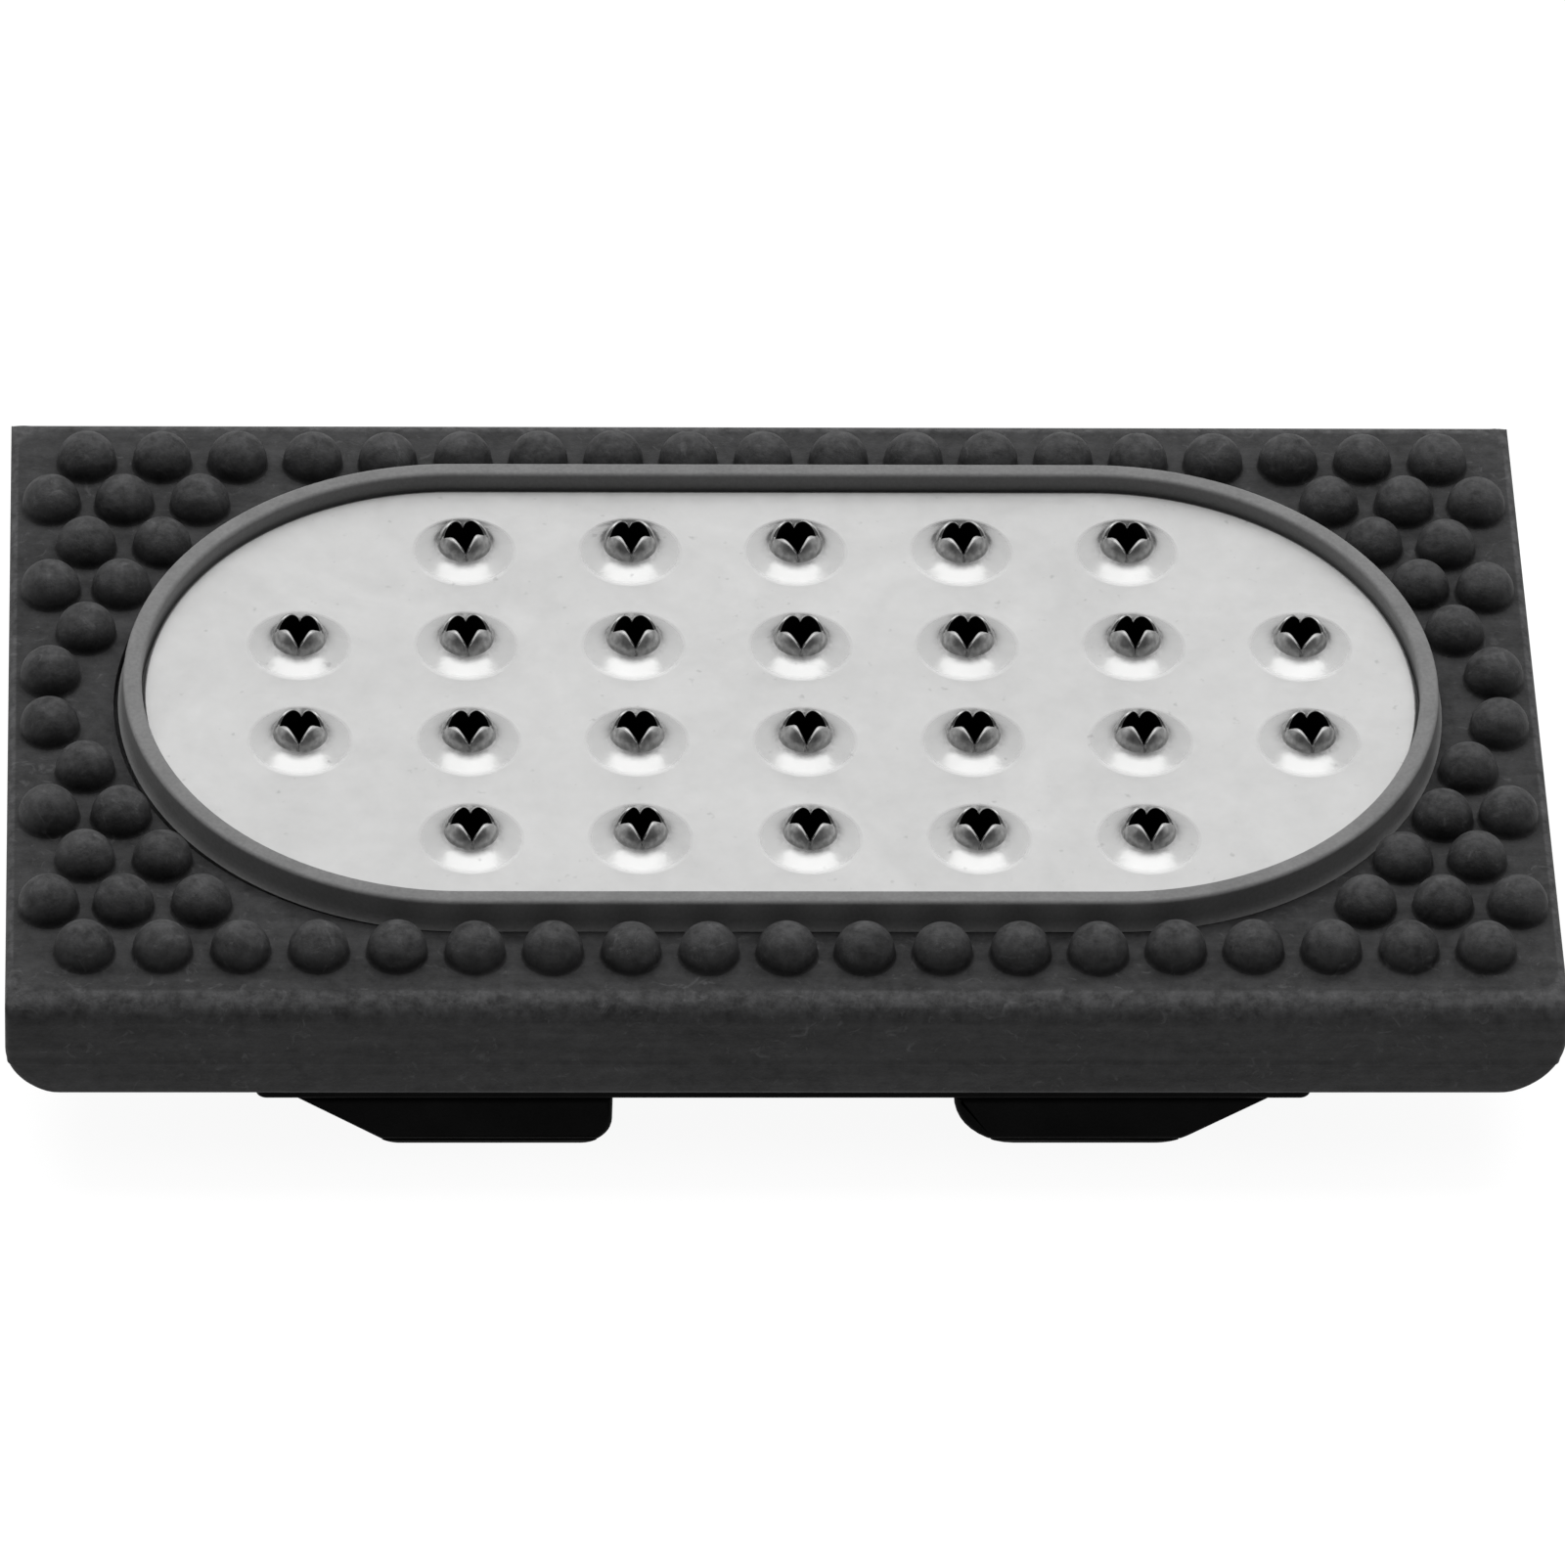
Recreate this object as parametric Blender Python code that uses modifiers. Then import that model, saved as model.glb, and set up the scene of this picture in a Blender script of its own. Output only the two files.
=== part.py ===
"""Traction pad: a nubbed rubber slab with a pierced steel tread plate, on a carrier with two stick-on feet.

Metres, +Z up. X runs along the pad and Y across it. The origin is on the ground, under the middle of
the pad. The stack, from the ground up, is adhesive, feet, carrier, rubber slab, gasket and tread plate;
four studs under the plate run through compression sleeves to nuts recessed in the feet.
"""

import math

import bmesh
import bpy
from mathutils import Matrix

GAP = 0.0002  # between two pieces that rest on each other
SIDE_GAP = 0.0003  # between two pieces that face each other sideways

# Rubber slab
PAD_LENGTH, PAD_DEPTH, PAD_HEIGHT = 0.1002, 0.0585, 0.0076
PAD_SIDE_TOP_ROUNDING, PAD_END_TOP_ROUNDING = 0.0017, 0.0008  # upper edges of the long sides and of the ends
PAD_END_ROUNDING = 0.0038  # lower edge of each end

# Nubs, in rows set half a pitch apart and mirrored about the middle of the slab
NUB_PITCH = 0.005
NUB_HEIGHT, NUB_DOME_RADIUS, NUB_FOOT_RADIUS = 0.00235, 0.00175, 0.00195
NUB_SUNK = 0.0005
NUBS_IN_OUTER_ROW = 19
NUBS_AT_EACH_END = (3, 2, 2, 1, 1)  # in the rows inside the outer one
FIRST_ROW_FROM_MIDDLE = NUB_PITCH / 2

# Tread plate, an oval of two straight sides and two half circles
OVAL_SHIFT = 0.0004  # the oval sits a little to +X of the slab's middle
OVAL_END_CENTRE = 0.0212  # from the oval's middle to the centre of each half circle
PLATE_RADIUS, PLATE_THICKNESS = 0.0204, 0.0008

# Teeth, pierced up through the plate: a wide flare, a neck, a shoulder and a crown split into four points
TOOTH_COLUMN_PITCH, TOOTH_ROW_PITCH = 0.01095, 0.00947
TOOTH_PATTERN_SHIFT = 0.0018  # the teeth sit further to +X than the plate does
TEETH_PER_ROW = (5, 7, 7, 5)
FLARE_RADIUS, FLARE_SUNK = 0.0035, 0.00015
SWEEP_RADIUS, SWEEP_HEIGHT = 0.0026, 0.00028
NECK_RADIUS, NECK_HEIGHT = 0.00195, 0.00075
SHOULDER_RADIUS, SHOULDER_HEIGHT = 0.0016, 0.0015
CROWN_RADIUS, CROWN_HEIGHT = 0.00122, 0.00205
CROWN_SLOT_HEIGHT, CROWN_SLOT_TOP_WIDTH = 0.00115, 0.00135
TOOTH_WALL = 0.0003

# Gasket, an L section round the plate: a lip under it and a bead that stands above it
BEAD_RADIUS, BEAD_HEIGHT = 0.0219, 0.0023  # outer radius, and height above the slab
LIP_WIDTH, LIP_THICKNESS = 0.0020, 0.0008

# Carrier, feet and adhesive
CARRIER_LENGTH, CARRIER_THICKNESS = 0.0680, 0.0018
CARRIER_DEPTH = PAD_DEPTH - 0.0040
CARRIER_CORNER, CARRIER_EDGE = 0.0020, 0.0007
FOOT_INNER_SIDE, FOOT_OUTER_BOTTOM, FOOT_OUTER_TOP = 0.0110, 0.0254, 0.0316
FOOT_TOP = 0.0041
FOOT_ROUNDINGS = {"left": (0.0020, 0.0008), "right": (0.0040, 0.0013)}  # lower corners, inner and outer
ADHESIVE_THICKNESS = 0.0003

# Fastenings
STUD_X, STUD_Y = 0.0185, TOOTH_ROW_PITCH
STUD_RADIUS, STUD_CHAMFER = 0.0015, 0.0003
HOLE_RADIUS = STUD_RADIUS + SIDE_GAP  # in each piece that a stud passes through
SLEEVE_RADIUS = 0.0024
WASHER_RADIUS, WASHER_THICKNESS = 0.0030, 0.0005
NUT_ACROSS_FLATS, NUT_THICKNESS = 0.0055, 0.0016
NUT_POCKET_RADIUS, NUT_POCKET_DEPTH = 0.0035, 0.0027

# Heights above the ground
FOOT_BOTTOM = ADHESIVE_THICKNESS + GAP
POCKET_CEILING = FOOT_BOTTOM + NUT_POCKET_DEPTH
CARRIER_BOTTOM = FOOT_TOP + GAP
CARRIER_TOP = CARRIER_BOTTOM + CARRIER_THICKNESS
PAD_BOTTOM = CARRIER_TOP + GAP
PAD_TOP = PAD_BOTTOM + PAD_HEIGHT
PLATE_BOTTOM = PAD_TOP + GAP
PLATE_TOP = PLATE_BOTTOM + PLATE_THICKNESS

STEPS_HALF_OVAL = 20
STEPS_NUB, STEPS_TOOTH, STEPS_ROUND = 8, 8, 16
CUT_REACH = 0.001  # how far a cutter runs past the face it cuts
SAME = 0.000001  # two places nearer than this are one


# ---------------------------------------------------------------- helpers


def clear_scene():
    for obj in list(bpy.data.objects):
        bpy.data.objects.remove(obj, do_unlink=True)


def new_collection(name):
    collection = bpy.data.collections.new(name)
    bpy.context.scene.collection.children.link(collection)
    return collection


def material(name, colour, roughness, metallic=0.0):
    made = bpy.data.materials.new(name)
    made.use_nodes = True
    shader = made.node_tree.nodes["Principled BSDF"]
    shader.inputs["Base Color"].default_value = (*colour, 1.0)
    shader.inputs["Roughness"].default_value = roughness
    shader.inputs["Metallic"].default_value = metallic
    return made


def mesh_from(bm, name):
    bmesh.ops.recalc_face_normals(bm, faces=bm.faces)
    mesh = bpy.data.meshes.new(name)
    bm.to_mesh(mesh)
    bm.free()
    return mesh


def add_part(name, mesh, finish, place=(0, 0, 0)):
    """A named piece of the object, smooth except at its corners."""
    mesh.materials.clear()
    mesh.materials.append(finish)
    mesh.shade_smooth()
    mesh.set_sharp_from_angle(angle=math.radians(35))
    part = bpy.data.objects.new(name, mesh)
    part.location = place
    PARTS.objects.link(part)
    return part


def add_cutter(name, mesh):
    cutter = bpy.data.objects.new(name, mesh)
    cutter.hide_render = True
    cutter.display_type = "WIRE"
    CUTTERS.objects.link(cutter)
    return cutter


def boolean(part, cutter, operation, solver="EXACT"):
    step = part.modifiers.new(f"{operation.lower()}_{cutter.name}", "BOOLEAN")
    step.operation = operation
    step.solver = solver
    step.object = cutter


def evaluated_mesh(obj):
    """The object's mesh with its modifiers applied. The object itself is removed."""
    graph = bpy.context.evaluated_depsgraph_get()
    mesh = bpy.data.meshes.new_from_object(obj.evaluated_get(graph))
    bpy.data.objects.remove(obj, do_unlink=True)
    bm = bmesh.new()
    bm.from_mesh(mesh)
    return mesh_from(bm, mesh.name)


def turned(name, profile, steps, ring=False):
    """A mesh turned about Z from (radius, height) points; ring closes the profile on itself.

    The profile starts half a step round, so that a facet faces +X.
    """
    edges = [(i, i + 1) for i in range(len(profile) - 1)]
    if ring:
        edges.append((len(profile) - 1, 0))
    start = math.pi / steps
    points = [(r * math.cos(start), r * math.sin(start), height) for r, height in profile]
    mesh = bpy.data.meshes.new(name)
    mesh.from_pydata(points, edges, [])
    obj = add_cutter(name, mesh)
    screw = obj.modifiers.new("turn", "SCREW")
    screw.steps = screw.render_steps = steps
    screw.use_merge_vertices = True
    screw.merge_threshold = SAME
    return evaluated_mesh(obj)


def scattered(name, mesh, places):
    """One mesh that holds a copy of the given mesh at each (x, y, z)."""
    bm = bmesh.new()
    for place in places:
        before = len(bm.verts)
        bm.from_mesh(mesh)
        bm.verts.ensure_lookup_table()
        bmesh.ops.translate(bm, vec=place, verts=bm.verts[before:])
    return mesh_from(bm, name)


def slab(size, bottom):
    """A bmesh box of the given (x, y, z) size, centred on the Z axis."""
    bm = bmesh.new()
    bmesh.ops.create_cube(bm, size=1)
    bmesh.ops.scale(bm, vec=size, verts=bm.verts)
    bmesh.ops.translate(bm, vec=(0, 0, bottom + size[2] / 2), verts=bm.verts)
    return bm


def round_edges(bm, chosen, radius, segments):
    """Rounds the edges for which chosen(one end, other end) is true."""
    edges = [edge for edge in bm.edges if chosen(edge.verts[0].co, edge.verts[1].co)]
    bmesh.ops.bevel(bm, geom=edges, offset=radius, segments=segments, profile=0.5, affect="EDGES")


def upright(a, b):
    return abs(a.x - b.x) + abs(a.y - b.y) < SAME


def oval(name, profile, ring=False):
    """A mesh swept round the plate's oval from (radius at the ends, height) points."""
    bm = bmesh.new()
    verts = [bm.verts.new((OVAL_END_CENTRE, -radius, height)) for radius, height in profile]
    pairs = list(zip(verts, verts[1:]))
    if ring:
        pairs.append((verts[-1], verts[0]))
    sweep = verts + [bm.edges.new(pair) for pair in pairs]
    for end in (1, -1):
        turn = bmesh.ops.spin(
            bm,
            geom=sweep,
            cent=(end * OVAL_END_CENTRE, 0, 0),
            axis=(0, 0, 1),
            angle=math.pi,
            steps=STEPS_HALF_OVAL,
        )
        last_edges = [item for item in turn["geom_last"] if isinstance(item, bmesh.types.BMEdge)]
        side = bmesh.ops.extrude_edge_only(bm, edges=last_edges)["geom"]
        side_verts = [item for item in side if isinstance(item, bmesh.types.BMVert)]
        bmesh.ops.translate(bm, vec=(-end * 2 * OVAL_END_CENTRE, 0, 0), verts=side_verts)
        sweep = side_verts + [item for item in side if isinstance(item, bmesh.types.BMEdge)]
    bmesh.ops.remove_doubles(bm, verts=bm.verts, dist=SAME)
    bmesh.ops.holes_fill(bm, edges=[edge for edge in bm.edges if edge.is_boundary])
    bmesh.ops.translate(bm, vec=(OVAL_SHIFT, 0, 0), verts=bm.verts)
    return mesh_from(bm, name)


def stud_places():
    return [(OVAL_SHIFT + x * STUD_X, y * STUD_Y) for x in (-1, 1) for y in (-1, 1)]


def cylinders(name, radius, bottom, top):
    """A cutter of four cylinders on the stud axes, a little longer at both ends."""
    top += CUT_REACH
    bottom -= CUT_REACH
    mesh = turned(name, [(0, top), (radius, top), (radius, bottom), (0, bottom)], STEPS_ROUND)
    return add_cutter(name, scattered(name, mesh, [(x, y, 0) for x, y in stud_places()]))


# ---------------------------------------------------------------- rubber slab


def nub_places():
    """Centres of the nubs: a full outer row at each long edge, and a few at each end of the rest."""
    half = (NUBS_IN_OUTER_ROW - 1) / 2
    row_step = NUB_PITCH * math.sqrt(3) / 2
    outer = [(column - half, len(NUBS_AT_EACH_END)) for column in range(NUBS_IN_OUTER_ROW)]
    inner = []
    for inward, count in enumerate(NUBS_AT_EACH_END, start=1):
        stagger = 0.5 * (inward % 2)
        for i in range(count):
            column = half + stagger - i
            inner += [(sign * column, len(NUBS_AT_EACH_END) - inward) for sign in (-1, 1)]
    return [
        (column * NUB_PITCH, side * (FIRST_ROW_FROM_MIDDLE + row * row_step))
        for column, row in outer + inner
        for side in (-1, 1)
    ]


def nub_mesh():
    """A domed nub on a slightly wider foot, sunk into the slab."""
    dome_base = NUB_HEIGHT - NUB_DOME_RADIUS
    outline = []
    for degrees_from_top in (0, 35, 65, 90):
        angle = math.radians(degrees_from_top)
        outline.append((NUB_DOME_RADIUS * math.sin(angle), dome_base + NUB_DOME_RADIUS * math.cos(angle)))
    outline += [(NUB_FOOT_RADIUS, 0), (NUB_FOOT_RADIUS, -NUB_SUNK), (0, -NUB_SUNK)]
    return turned("nub", outline, STEPS_NUB)


def lower_end_of_pad(a, b):
    return abs(a.x - b.x) < SAME and max(a.z, b.z) < PAD_BOTTOM + SAME


def upper_side_edge_of_pad(a, b):
    return abs(a.y - b.y) < SAME and min(a.z, b.z) > PAD_TOP - SAME


def upper_end_edge_of_pad(a, b):
    at_end = min(abs(a.x), abs(b.x)) > PAD_LENGTH / 2 - SAME
    return at_end and min(a.z, b.z) > PAD_TOP - PAD_SIDE_TOP_ROUNDING - SAME


def make_rubber_pad(finish):
    bm = slab((PAD_LENGTH, PAD_DEPTH, PAD_HEIGHT), PAD_BOTTOM)
    round_edges(bm, lower_end_of_pad, PAD_END_ROUNDING, segments=5)
    round_edges(bm, upper_side_edge_of_pad, PAD_SIDE_TOP_ROUNDING, segments=4)
    round_edges(bm, upper_end_edge_of_pad, PAD_END_TOP_ROUNDING, segments=3)
    pad = add_part("rubber_pad", mesh_from(bm, "rubber_pad"), finish)
    places = [(x, y, PAD_TOP) for x, y in nub_places()]
    boolean(pad, add_cutter("nub_field", scattered("nub_field", nub_mesh(), places)), "UNION")

    groove_outer = BEAD_RADIUS + SIDE_GAP
    groove_inner = PLATE_RADIUS - LIP_WIDTH - SIDE_GAP
    groove_floor = PAD_TOP - LIP_THICKNESS - 2 * GAP
    above = PAD_TOP + 2 * NUB_HEIGHT
    section = [
        (groove_outer, above),
        (groove_outer, groove_floor),
        (groove_inner, groove_floor),
        (groove_inner, above),
    ]
    boolean(pad, add_cutter("gasket_groove", oval("gasket_groove", section, ring=True)), "DIFFERENCE")
    holes = cylinders("sleeve_holes", SLEEVE_RADIUS + SIDE_GAP, PAD_BOTTOM, PAD_TOP)
    boolean(pad, holes, "DIFFERENCE")


# ---------------------------------------------------------------- gasket and tread plate


def make_gasket(finish):
    inner = PLATE_RADIUS + SIDE_GAP
    lip_top = PAD_TOP - GAP / 2
    lip_bottom = lip_top - LIP_THICKNESS
    lip_edge = PLATE_RADIUS - LIP_WIDTH
    middle = (inner + BEAD_RADIUS) / 2
    half_width = (BEAD_RADIUS - inner) / 2
    crest_base = PAD_TOP + BEAD_HEIGHT - half_width
    section = []
    for degrees in (0, 45, 90, 135, 180):
        angle = math.radians(degrees)
        section.append((middle - half_width * math.cos(angle), crest_base + half_width * math.sin(angle)))
    section += [(BEAD_RADIUS, lip_bottom), (lip_edge, lip_bottom), (lip_edge, lip_top), (inner, lip_top)]
    add_part("plate_gasket", oval("plate_gasket", section, ring=True), finish)


def tooth_places():
    rows = len(TEETH_PER_ROW)
    return [
        (
            (column - (count - 1) / 2) * TOOTH_COLUMN_PITCH + TOOTH_PATTERN_SHIFT,
            ((rows - 1) / 2 - row) * TOOTH_ROW_PITCH,
            PLATE_TOP,
        )
        for row, count in enumerate(TEETH_PER_ROW)
        for column in range(count)
    ]


def crown_mesh():
    """One tooth, solid, with the edge of its flare sunk into the plate. Height 0 is the plate's face."""
    root = -PLATE_THICKNESS / 2
    outline = [
        (0, CROWN_HEIGHT),
        (CROWN_RADIUS, CROWN_HEIGHT),
        (SHOULDER_RADIUS, SHOULDER_HEIGHT),
        (NECK_RADIUS, NECK_HEIGHT),
        (SWEEP_RADIUS, SWEEP_HEIGHT),
        (FLARE_RADIUS, -FLARE_SUNK),
        (FLARE_RADIUS, root),
        (0, root),
    ]
    return turned("crown", outline, STEPS_TOOTH)


def funnel_mesh():
    """The opening through one tooth: narrow at the crown and wide under the plate."""
    above = CROWN_HEIGHT + CUT_REACH
    below = -PLATE_THICKNESS - CUT_REACH
    mouth = CROWN_RADIUS - TOOTH_WALL
    outline = [
        (0, above),
        (mouth, above),
        (mouth, SHOULDER_HEIGHT),
        (NECK_RADIUS - 2 * TOOTH_WALL, NECK_HEIGHT),
        (NECK_RADIUS, 0),
        (FLARE_RADIUS - 2 * TOOTH_WALL, -PLATE_THICKNESS),
        (FLARE_RADIUS - 2 * TOOTH_WALL, below),
        (0, below),
    ]
    return turned("funnel", outline, STEPS_TOOTH)


def slot_mesh(along):
    """A V groove across the top of a tooth: a three-sided bar on its edge, taller than it needs to be."""
    bm = bmesh.new()
    bmesh.ops.create_cone(bm, cap_ends=True, segments=3, radius1=1, radius2=1, depth=1)
    lie_down = Matrix.Rotation(math.radians(90), 4, "Y") @ Matrix.Rotation(math.radians(-90), 4, "Z")
    bmesh.ops.transform(bm, matrix=lie_down, verts=bm.verts)
    lowest = min(vert.co.z for vert in bm.verts)
    tall = max(vert.co.z for vert in bm.verts) - lowest
    wide = 2 * max(vert.co.y for vert in bm.verts)
    height = CROWN_HEIGHT
    width = CROWN_SLOT_TOP_WIDTH * height / (CROWN_HEIGHT - CROWN_SLOT_HEIGHT)
    bmesh.ops.translate(bm, vec=(0, 0, -lowest), verts=bm.verts)
    bmesh.ops.scale(bm, vec=(4 * NECK_RADIUS, width / wide, height / tall), verts=bm.verts)
    bmesh.ops.translate(bm, vec=(0, 0, CROWN_SLOT_HEIGHT), verts=bm.verts)
    if along == "Y":
        quarter_turn = Matrix.Rotation(math.radians(90), 3, "Z")
        bmesh.ops.rotate(bm, cent=(0, 0, 0), matrix=quarter_turn, verts=bm.verts)
    return mesh_from(bm, f"slot_{along}")


def make_traction_plate(finish):
    blank = oval("traction_plate", [(PLATE_RADIUS, PLATE_TOP), (PLATE_RADIUS, PLATE_BOTTOM)])
    plate = add_part("traction_plate", blank, finish)
    places = tooth_places()
    boolean(plate, add_cutter("crowns", scattered("crowns", crown_mesh(), places)), "UNION")
    boolean(plate, add_cutter("funnels", scattered("funnels", funnel_mesh(), places)), "DIFFERENCE")
    for along in ("X", "Y"):
        name = f"slots_along_{along}"
        slots = add_cutter(name, scattered(name, slot_mesh(along), places))
        boolean(plate, slots, "DIFFERENCE", solver="MANIFOLD")


# ---------------------------------------------------------------- carrier, feet and adhesive


def lower_rim_of_carrier(a, b):
    return max(a.z, b.z) < CARRIER_BOTTOM + SAME


def make_carrier(finish):
    bm = slab((CARRIER_LENGTH, CARRIER_DEPTH, CARRIER_THICKNESS), CARRIER_BOTTOM)
    round_edges(bm, upright, CARRIER_CORNER, segments=4)
    round_edges(bm, lower_rim_of_carrier, CARRIER_EDGE, segments=2)
    carrier = add_part("carrier_plate", mesh_from(bm, "carrier_plate"), finish)
    boolean(carrier, cylinders("carrier_holes", HOLE_RADIUS, CARRIER_BOTTOM, CARRIER_TOP), "DIFFERENCE")


def foot_block(name):
    """One foot down to the ground: upright inner side, sloping outer side and rounded lower corners."""
    bm = slab((FOOT_OUTER_TOP, CARRIER_DEPTH, FOOT_TOP), bottom=0)
    for vert in bm.verts:
        outer = FOOT_OUTER_TOP if vert.co.z > FOOT_TOP / 2 else FOOT_OUTER_BOTTOM
        vert.co.x = outer if vert.co.x > 0 else FOOT_INNER_SIDE
    for corner_x, rounding in zip((FOOT_INNER_SIDE, FOOT_OUTER_BOTTOM), FOOT_ROUNDINGS[name]):

        def lower_corner(a, b, corner_x=corner_x):
            return all(abs(end.x - corner_x) < SAME and end.z < SAME for end in (a, b))

        round_edges(bm, lower_corner, rounding, segments=4)
    if name == "left":
        bmesh.ops.scale(bm, vec=(-1, 1, 1), verts=bm.verts)
    return bm


def keep_between(bm, bottom, top):
    """Cuts a block down to the layer between two heights and closes it."""
    for height, up in ((bottom, -1), (top, 1)):
        geometry = bm.verts[:] + bm.edges[:] + bm.faces[:]
        bmesh.ops.bisect_plane(
            bm, geom=geometry, plane_co=(0, 0, height), plane_no=(0, 0, up), clear_outer=True
        )
    bmesh.ops.holes_fill(bm, edges=[edge for edge in bm.edges if edge.is_boundary])


def make_feet(foot_finish, adhesive_finish):
    stud_holes = cylinders("foot_stud_holes", HOLE_RADIUS, FOOT_BOTTOM, FOOT_TOP)
    nut_pockets = cylinders("nut_pockets", NUT_POCKET_RADIUS, FOOT_BOTTOM, POCKET_CEILING - CUT_REACH)
    for name in FOOT_ROUNDINGS:
        bm = foot_block(name)
        keep_between(bm, FOOT_BOTTOM, FOOT_TOP + CUT_REACH)
        foot = add_part(f"{name}_foot", mesh_from(bm, f"{name}_foot"), foot_finish)
        boolean(foot, stud_holes, "DIFFERENCE")
        boolean(foot, nut_pockets, "DIFFERENCE")

        bm = foot_block(name)
        keep_between(bm, -CUT_REACH, ADHESIVE_THICKNESS)
        add_part(f"{name}_adhesive_strip", mesh_from(bm, f"{name}_adhesive_strip"), adhesive_finish)


# ---------------------------------------------------------------- fastenings


def hex_nut_mesh():
    bm = bmesh.new()
    radius = NUT_ACROSS_FLATS / math.sqrt(3)
    bmesh.ops.create_cone(
        bm, cap_ends=True, segments=6, radius1=radius, radius2=radius, depth=NUT_THICKNESS
    )
    nut = add_cutter("nut_blank", mesh_from(bm, "nut_blank"))
    reach = NUT_THICKNESS
    outline = [(0, reach), (HOLE_RADIUS, reach), (HOLE_RADIUS, -reach), (0, -reach)]
    bore = add_cutter("nut_bore", turned("nut_bore", outline, STEPS_ROUND))
    boolean(nut, bore, "DIFFERENCE")
    mesh = evaluated_mesh(nut)
    bpy.data.objects.remove(bore, do_unlink=True)
    return mesh


def ring_mesh(name, bore, radius, thickness):
    """A plain ring that stands on height 0."""
    outline = [(radius, thickness), (radius, 0), (bore, 0), (bore, thickness)]
    return turned(name, outline, STEPS_ROUND, ring=True)


def make_fastenings(steel):
    washer_bottom = POCKET_CEILING - GAP - WASHER_THICKNESS
    nut_top = washer_bottom - GAP / 2
    sleeve_length = PAD_TOP - CARRIER_TOP - GAP
    stud_top = PLATE_BOTTOM - GAP
    stud_bottom = nut_top - NUT_THICKNESS + GAP
    stud_outline = [
        (0, stud_top),
        (STUD_RADIUS, stud_top),
        (STUD_RADIUS, stud_bottom + STUD_CHAMFER),
        (STUD_RADIUS - STUD_CHAMFER, stud_bottom),
        (0, stud_bottom),
    ]
    stud = turned("stud", stud_outline, STEPS_ROUND)
    sleeve = ring_mesh("sleeve", HOLE_RADIUS, SLEEVE_RADIUS, sleeve_length)
    washer = ring_mesh("washer", HOLE_RADIUS, WASHER_RADIUS, WASHER_THICKNESS)
    nut = hex_nut_mesh()
    for x, y in stud_places():
        where = f"{'left' if x < 0 else 'right'}_{'front' if y < 0 else 'rear'}"
        add_part(f"stud_{where}", stud, steel, (x, y, 0))
        add_part(f"sleeve_{where}", sleeve, steel, (x, y, CARRIER_TOP + GAP / 2))
        add_part(f"washer_{where}", washer, steel, (x, y, washer_bottom))
        add_part(f"nut_{where}", nut, steel, (x, y, nut_top - NUT_THICKNESS / 2))


# ---------------------------------------------------------------- assembly

clear_scene()
PARTS = new_collection("traction_pad")
CUTTERS = new_collection("cutters")

RUBBER = material("black_rubber", (0.055, 0.055, 0.056), 0.6)
GASKET_RUBBER = material("grey_gasket_rubber", (0.22, 0.22, 0.22), 0.5)
TREAD_STEEL = material("satin_tread_steel", (0.62, 0.62, 0.62), 0.35, metallic=1.0)
BLACK_PLASTIC = material("black_nylon", (0.012, 0.012, 0.012), 0.45)
ADHESIVE = material("black_adhesive_foam", (0.02, 0.02, 0.02), 0.8)
ZINC_STEEL = material("zinc_plated_steel", (0.55, 0.55, 0.57), 0.3, metallic=1.0)

make_rubber_pad(RUBBER)
make_gasket(GASKET_RUBBER)
make_traction_plate(TREAD_STEEL)
make_carrier(BLACK_PLASTIC)
make_feet(BLACK_PLASTIC, ADHESIVE)
make_fastenings(ZINC_STEEL)
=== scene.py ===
"""Looks of the stomp pad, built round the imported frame.

Metres, +Z up. X runs along the pad and Y across it. Every piece that shows is a fine mesh made here:
the nubbed rubber slab, the bead round the plate, the pierced tread plate, the carrier, the feet and
their adhesive. The fastenings inside keep their CAD solids and get their finish here.
"""

import math
import random

import bmesh
import bpy
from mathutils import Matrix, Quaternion, Vector
from mathutils.geometry import delaunay_2d_cdt


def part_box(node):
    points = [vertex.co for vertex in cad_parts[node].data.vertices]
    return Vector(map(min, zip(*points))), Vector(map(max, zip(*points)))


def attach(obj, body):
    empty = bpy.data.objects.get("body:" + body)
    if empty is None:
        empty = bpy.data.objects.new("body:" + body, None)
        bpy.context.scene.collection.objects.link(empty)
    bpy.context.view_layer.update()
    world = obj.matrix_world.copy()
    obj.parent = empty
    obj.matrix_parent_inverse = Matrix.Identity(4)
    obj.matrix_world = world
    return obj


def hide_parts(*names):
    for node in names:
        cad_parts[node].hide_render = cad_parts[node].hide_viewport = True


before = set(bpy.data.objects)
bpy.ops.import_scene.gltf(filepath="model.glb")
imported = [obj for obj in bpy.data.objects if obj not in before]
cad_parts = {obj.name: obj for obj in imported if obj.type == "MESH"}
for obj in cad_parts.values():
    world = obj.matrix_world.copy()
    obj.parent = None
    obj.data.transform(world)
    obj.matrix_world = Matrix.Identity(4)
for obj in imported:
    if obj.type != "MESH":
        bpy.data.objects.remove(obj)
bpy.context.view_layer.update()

MM = 0.001

# Layers of the meshes, which the finishes read: rubbed faces, metal drawn out of the flat, and hidden
# faces inside grooves, holes and teeth, whose colour is darkened as painted shade
LAYERS = ("wear", "drawn", "inside")

# Sizes read from the frame
PAD_LOW, PAD_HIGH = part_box("rubber_pad")
BEAD_LOW, BEAD_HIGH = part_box("plate_gasket")
PLATE_LOW, PLATE_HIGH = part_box("traction_plate")
CARRIER_LOW, CARRIER_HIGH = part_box("carrier_plate")
SLEEVE_LOW, SLEEVE_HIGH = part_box("sleeve_right_rear")
STUD_LOW, STUD_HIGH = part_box("stud_right_rear")

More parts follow.
